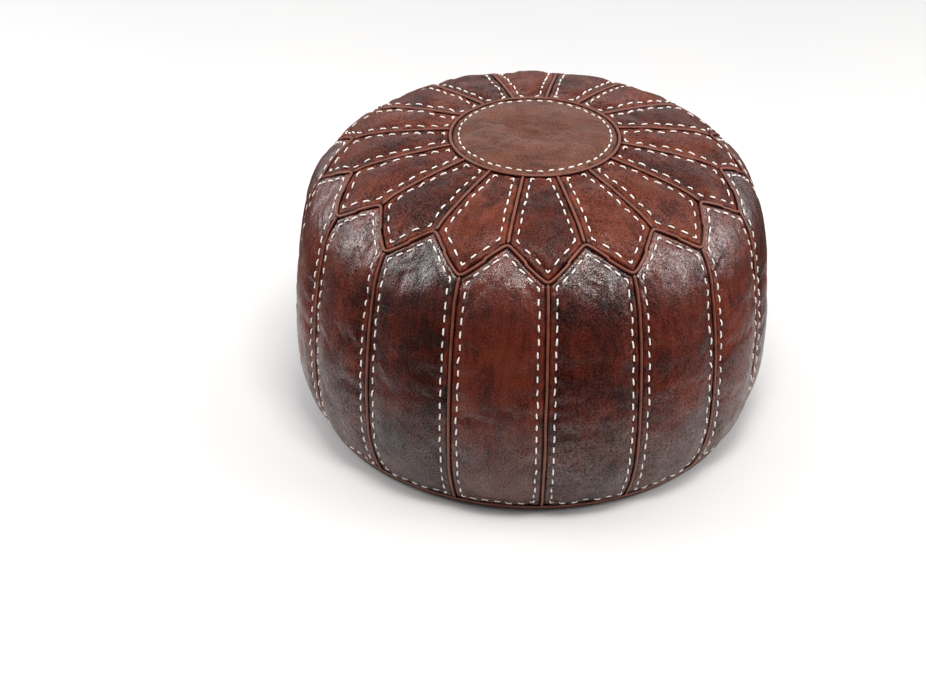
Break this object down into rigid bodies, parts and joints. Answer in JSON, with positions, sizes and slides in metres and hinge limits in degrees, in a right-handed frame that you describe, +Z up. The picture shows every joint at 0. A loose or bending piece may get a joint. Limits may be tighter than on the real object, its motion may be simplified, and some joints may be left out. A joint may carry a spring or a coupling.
{
  "type": "pouf",
  "caption": "Round stuffed leather floor pouf, a low seat or footrest with a sewn flower top, corded seams and a zipped base.",
  "frame": {"origin": "centre of the footprint, on the floor", "axes": "+Z up, through the centre of the top disc; +X along the zip towards its closed end; -Y is the front"},
  "size_m": [0.5498, 0.5498, 0.35],
  "materials": {
    "disc_leather": "satin, waxed brown goat leather",
    "petal_leather": "waxed, glossy mahogany goat leather",
    "side_leather": "waxed, glossy mahogany goat leather",
    "welt_leather": "satin, rust-brown piping leather",
    "base_leather": "matt, plain leather",
    "zip_tape": "matt, woven tape",
    "zip_metal": "satin, aged brass",
    "lining_cotton": "matt, unbleached cotton",
    "wadding": "matt, loose textile wadding"
  },
  "bodies": {
    "cover": {"top_disc": "disc_leather", "top_petal_01": "petal_leather", "top_petal_02": "petal_leather", "top_petal_03": "petal_leather", "top_petal_04": "petal_leather", "top_petal_05": "petal_leather", "top_petal_06": "petal_leather", "top_petal_07": "petal_leather", "top_petal_08": "petal_leather", "top_petal_09": "petal_leather", "top_petal_10": "petal_leather", "top_petal_11": "petal_leather", "top_petal_12": "petal_leather", "top_petal_13": "petal_leather", "top_petal_14": "petal_leather", "top_petal_15": "petal_leather", "top_petal_16": "petal_leather", "side_panel_01": "side_leather", "side_panel_02": "side_leather", "side_panel_03": "side_leather", "side_panel_04": "side_leather", "side_panel_05": "side_leather", "side_panel_06": "side_leather", "side_panel_07": "side_leather", "side_panel_08": "side_leather", "side_panel_09": "side_leather", "side_panel_10": "side_leather", "side_panel_11": "side_leather", "side_panel_12": "side_leather", "side_panel_13": "side_leather", "side_panel_14": "side_leather", "side_panel_15": "side_leather", "side_panel_16": "side_leather", "disc_welt": "welt_leather", "petal_seam_welts": "welt_leather", "point_welts": "welt_leather", "side_seam_welts": "welt_leather", "base_welt": "welt_leather", "base_half_front": "base_leather", "base_half_back": "base_leather", "zip_tape_front": "zip_tape", "zip_tape_back": "zip_tape", "zip_teeth_front": "zip_metal", "zip_teeth_back": "zip_metal", "zip_stops": "zip_metal", "inner_lining": "lining_cotton", "filling": "wadding"},
    "zip_slider": {"zip_slider": "zip_metal"},
    "zip_pull_tab": {"zip_pull_tab": "zip_metal"}
  },
  "joints": [
    {"name": "zip_slide", "type": "slide", "parent": "cover", "child": "zip_slider", "axis": [1, 0, 0], "range_m": [-0.275, 0]},
    {"name": "pull_tab_swing", "type": "hinge", "parent": "zip_slider", "child": "zip_pull_tab", "pos_m": [0.139, 0, 0.0065], "axis": [0, 1, 0], "range_deg": [-170, 0]}
  ]
}
